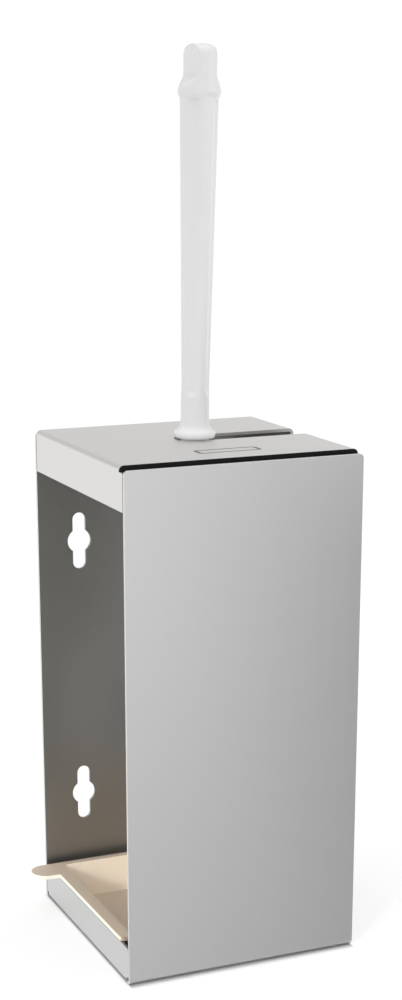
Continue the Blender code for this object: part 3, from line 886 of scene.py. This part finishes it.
def add_filament(verts, faces, root, tip, bow, radius):
    """One bristle: a thin three-sided tapering rod, slightly bowed."""
    along = (tip - root).normalized()
    side = along.orthogonal().normalized()
    other = along.cross(side)
    start = len(verts)
    steps = 3
    for index in range(steps + 1):
        share = index / steps
        centre = root.lerp(tip, share) + bow * math.sin(math.pi * share)
        thick = radius * (1.0 - 0.35 * share)
        for corner in range(3):
            angle = math.tau * corner / 3.0
            verts.append(centre + (side * math.cos(angle) + other * math.sin(angle)) * thick)
    for index in range(steps):
        base = start + 3 * index
        for corner in range(3):
            after = (corner + 1) % 3
            faces.append((base + corner, base + after, base + 3 + after, base + 3 + corner))
    faces.append((start + 2, start + 1, start))
    last = start + 3 * steps
    faces.append((last, last + 1, last + 2))


def random_in_disc(rng):
    angle = rng.uniform(0.0, math.tau)
    distance = math.sqrt(rng.random())
    return distance * math.cos(angle), distance * math.sin(angle)


def add_tuft(verts, faces, rng, root, direction, length):
    """A bunch of bristles that leaves one pocket and spreads towards its tips."""
    side = direction.orthogonal().normalized()
    other = direction.cross(side)
    for _ in range(FILAMENTS_PER_TUFT):
        across, up = random_in_disc(rng)
        start = root + (side * across + other * up) * TUFT_ROOT_RADIUS
        reach = length * rng.uniform(*LENGTH_SHARES)
        wide = TUFT_SPREAD * rng.uniform(*SPREAD_SHARES)
        end = root + direction * reach + (side * across + other * up) * wide
        bow = Vector((rng.gauss(0.0, 1.0), rng.gauss(0.0, 1.0), rng.gauss(0.0, 1.0))) * FILAMENT_BOW
        add_filament(verts, faces, start, end, bow, FILAMENT_RADIUS)


def make_bristles():
    """Rows of tufts round the core and two rings of tufts on its end."""
    rng = random.Random(7)
    verts = []
    faces = []
    middle = (ROW_COUNT - 1) / 2.0
    for row in range(ROW_COUNT):
        z = ROW_FIRST_Z + ROW_PITCH * row
        outer = HEAD_RADIUS - ROW_BULGE * ((row - middle) / middle) ** 2
        for number in range(TUFTS_PER_ROW):
            angle = math.tau * (number + 0.5 * (row % 2)) / TUFTS_PER_ROW
            droop = LOWEST_ROW_DROOP if row == 0 else 0.0
            direction = Vector((math.cos(angle), math.sin(angle), droop)).normalized()
            root = Vector((math.cos(angle), math.sin(angle), 0.0)) * (CORE_RADIUS - TUFT_ROOT_DEPTH)
            root.z = z
            add_tuft(verts, faces, rng, root, direction, outer - CORE_RADIUS + TUFT_ROOT_DEPTH)
    end_z = CORE_BOTTOM + END_TUFT_DEPTH
    for index, ring in enumerate(END_TUFT_RINGS):
        for number in range(ring["count"]):
            angle = math.tau * (number + 0.5 * index) / ring["count"]
            direction = Vector((math.cos(angle), math.sin(angle), ring["slope"])).normalized()
            root = Vector((math.cos(angle) * ring["radius"], math.sin(angle) * ring["radius"], end_z))
            add_tuft(verts, faces, rng, root, direction, ring["length"])
    mesh = bpy.data.meshes.new("nylon_bristles")
    mesh.from_pydata([tuple(vert) for vert in verts], [], faces)
    mesh.transform(brush_matrix())
    mesh.update()
    bristles = bpy.data.objects.new("nylon_bristles", mesh)
    bpy.context.scene.collection.objects.link(bristles)
    mesh.materials.append(moulded_plastic("bristle_nylon", (0.88, 0.88, 0.87), 0.45, mottling=0.03))
    return bristles


# ---------------------------------------------------------------------- stage

def stage_sheet(name, low, high, z, glow):
    """Flat rectangle of the studio that glows by the socket that glow(nodes) returns."""
    bm = bmesh.new()
    corners = ((low[0], low[1]), (high[0], low[1]), (high[0], high[1]), (low[0], high[1]))
    bm.faces.new([bm.verts.new((x, y, 0.0)) for x, y in corners])
    sheet = add_object(name, bm, smooth=False)
    sheet.location.z = z
    nodes = Nodes(f"{name}_surface")
    nodes.shader.inputs["Specular IOR Level"].default_value = 0.0
    nodes.shader.inputs["Emission Color"].default_value = (1.0, 1.0, 1.0, 1.0)
    nodes.link(glow(nodes), nodes.shader.inputs["Emission Strength"])
    sheet.data.materials.append(nodes.material)
    return sheet, nodes.shader


def floor_glow(nodes):
    """Even glow, shaded only right against the fold of the front panel."""
    axes = nodes.axes()
    beyond = []
    for axis, half, weight in (("X", HALF_WIDTH, CONTACT_SIDE_WEIGHT), ("Y", HALF_DEPTH, 1.0)):
        outside = nodes.maths("SUBTRACT", nodes.maths("ABSOLUTE", axes[axis]), half - CONTACT_INSET)
        beyond.append(nodes.maths("MULTIPLY", nodes.maths("MAXIMUM", outside, 0.0), weight))
    return nodes.fade(nodes.length(*beyond), 0.0, CONTACT_REACH, CONTACT_LEVEL * FLOOR_GLOW, FLOOR_GLOW)


def make_floor():
    """Pale floor that glows evenly, so that it stays white from every side."""
    low = (-FLOOR_HALF_SIZE, -FLOOR_HALF_SIZE)
    high = (FLOOR_HALF_SIZE, FLOOR_HALF_SIZE)
    shader = stage_sheet("studio_floor", low, high, -FLOOR_CLEARANCE, floor_glow)[1]
    shader.inputs["Base Color"].default_value = (FLOOR_ALBEDO, FLOOR_ALBEDO, FLOOR_ALBEDO, 1.0)
    shader.inputs["Roughness"].default_value = 0.9


def card_glow(nodes):
    """Dim near the object and to its right, brighter ahead, as white as the floor far off."""
    axes = nodes.axes()
    ahead = nodes.maths("SUBTRACT", -HALF_DEPTH, axes["Y"])
    aside = nodes.maths("SUBTRACT", axes["X"], nodes.maths("MULTIPLY", ahead, CARD_LEAN))
    reach = nodes.length(axes["X"], ahead)
    strength = nodes.fade(reach, *CARD_NEAR, *CARD_STRENGTHS)
    darker = nodes.maths("MULTIPLY", nodes.fade(aside, *CARD_ASIDE), strength)
    near = nodes.fade(reach, *CARD_NEAR, CARD_NEAR_LEVEL, 1.0)
    grade = nodes.maths("MULTIPLY", nodes.maths("SUBTRACT", 1.0, darker), near)
    return nodes.maths("MAXIMUM", grade, nodes.fade(reach, *CARD_FADE))


def make_grey_card():
    """Graded card, flat in front of the object, that only reflections see."""
    card, shader = stage_sheet("grey_card", *CARD_CORNERS, 0.0, card_glow)
    shader.inputs["Base Color"].default_value = (0.0, 0.0, 0.0, 1.0)
    card.visible_camera = False
    card.visible_diffuse = False
    card.visible_shadow = False
    card.visible_transmission = False
    card.visible_volume_scatter = False


def make_world():
    """Studio surround: white round the horizon, dimmer above it and bright overhead."""
    world = bpy.data.worlds.new("studio")
    bpy.context.scene.world = world
    world.use_nodes = True
    tree = world.node_tree
    light = tree.nodes["Background"]
    place = tree.nodes.new("ShaderNodeTexCoord")
    split = tree.nodes.new("ShaderNodeSeparateXYZ")
    height = tree.nodes.new("ShaderNodeMapRange")
    height.inputs["From Min"].default_value = -1.0
    ramp = tree.nodes.new("ShaderNodeValToRGB")
    ramp.color_ramp.interpolation = "EASE"
    elements = ramp.color_ramp.elements
    while len(elements) < len(WORLD_LEVELS):
        elements.new(0.5)
    for element, (position, level) in zip(elements, WORLD_LEVELS):
        element.position = position
        element.color = (level, level, level, 1.0)
    tree.links.new(place.outputs["Generated"], split.inputs["Vector"])
    tree.links.new(split.outputs["Z"], height.inputs["Value"])
    tree.links.new(height.outputs["Result"], ramp.inputs["Fac"])
    tree.links.new(ramp.outputs["Color"], light.inputs["Color"])


def add_area_light(name, place, target, size, power, spread):
    data = bpy.data.lights.new(name, "AREA")
    data.shape = "SQUARE"
    data.size = size
    data.energy = power
    data.spread = math.radians(spread)
    light = bpy.data.objects.new(name, data)
    bpy.context.scene.collection.objects.link(light)
    light.location = place
    aim = Vector(target) - Vector(place)
    light.rotation_euler = aim.to_track_quat("-Z", "Y").to_euler()


def make_camera():
    """The photograph's view of the housing."""
    data = bpy.data.cameras.new("camera")
    data.lens = CAMERA_LENS
    data.sensor_width = 36.0
    data.shift_x, data.shift_y = CAMERA_SHIFT
    data.clip_start = 0.01
    data.clip_end = 50.0
    camera = bpy.data.objects.new("camera", data)
    bpy.context.scene.collection.objects.link(camera)
    camera.location = CAMERA_PLACE
    camera.rotation_euler = Vector(CAMERA_FORWARD).to_track_quat("-Z", "Y").to_euler()
    bpy.context.scene.camera = camera


# ------------------------------------------------------------------- assembly

make_camera()
make_world()
make_floor()
make_grey_card()
for light in AREA_LIGHTS:
    add_area_light(**light)

# dark inside steel: rougher mill finish, its darkness painted shade
shaded_mill = shaded_mill_steel()
wrap = make_wrap()
finish_wrap(wrap, shaded_mill)
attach(wrap, "housing")
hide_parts("wrap_shell")

cover = make_cover()
finish_cover(cover, shaded_mill)
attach(cover, "housing")
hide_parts("top_cover")

tray = make_tray()
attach(tray, "tray")
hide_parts("drip_tray")

handle = make_handle()
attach(handle, "brush")
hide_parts("brush_handle")

core = make_core()
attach(core, "brush")
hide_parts("brush_core")

bristles = make_bristles()
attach(bristles, "brush")
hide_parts("bristle_end", *[f"bristle_row_{number + 1}" for number in range(ROW_COUNT)])

bpy.context.scene.view_settings.view_transform = "Standard"
